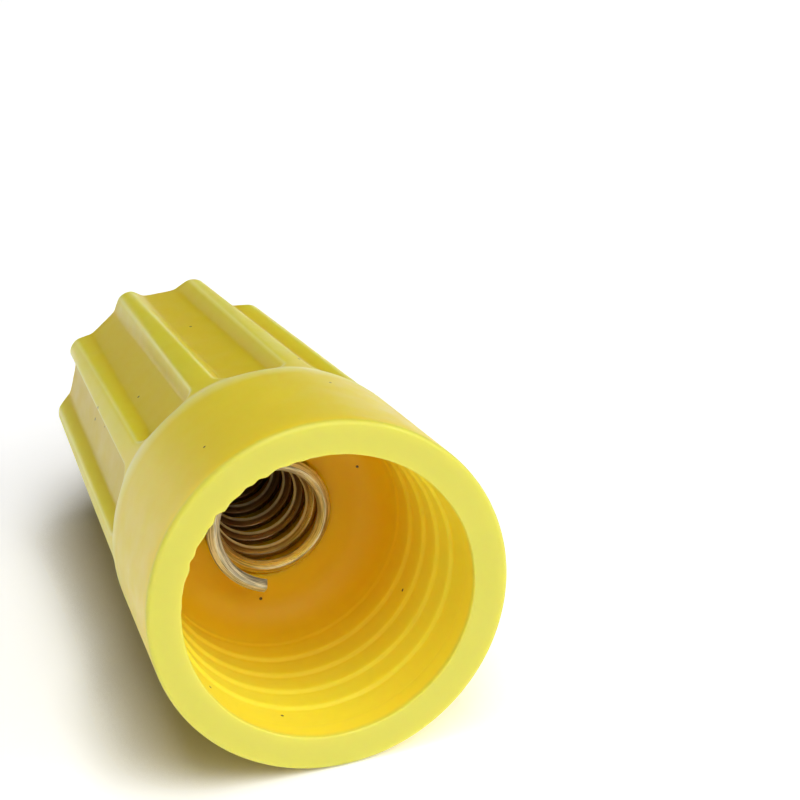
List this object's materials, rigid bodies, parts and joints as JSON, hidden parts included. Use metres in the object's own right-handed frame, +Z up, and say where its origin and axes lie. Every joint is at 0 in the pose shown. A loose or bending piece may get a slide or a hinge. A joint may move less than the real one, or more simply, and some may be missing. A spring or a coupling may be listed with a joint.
{
  "type": "twist-on wire connector",
  "caption": "Fluted tapered plastic cap with an open skirted mouth and a conical square-wire spring inside, twisted over stripped wire ends to join them.",
  "frame": {"origin": "centre of the open mouth, in the plane of its rim", "axes": "+Y along the part's axis from the mouth to the closed end, +Z up with the part lying on its side, two ridges down"},
  "size_m": [0.0136, 0.0229, 0.0136],
  "materials": {
    "shell_plastic": "semi-gloss translucent yellow thermoplastic, as moulded",
    "spring_steel": "bright plated square spring wire with fine drawing lines"
  },
  "bodies": {
    "shell": {"shell": "shell_plastic"},
    "spring": {"spring": "spring_steel"}
  },
  "joints": [
    {"name": "spring_unwind", "type": "hinge", "parent": "shell", "child": "spring", "pos_m": [0, 0.0198, 0], "axis": [0, 1, 0], "range_deg": [0, 90], "stiffness_Nm_per_rad": 0.002}
  ]
}
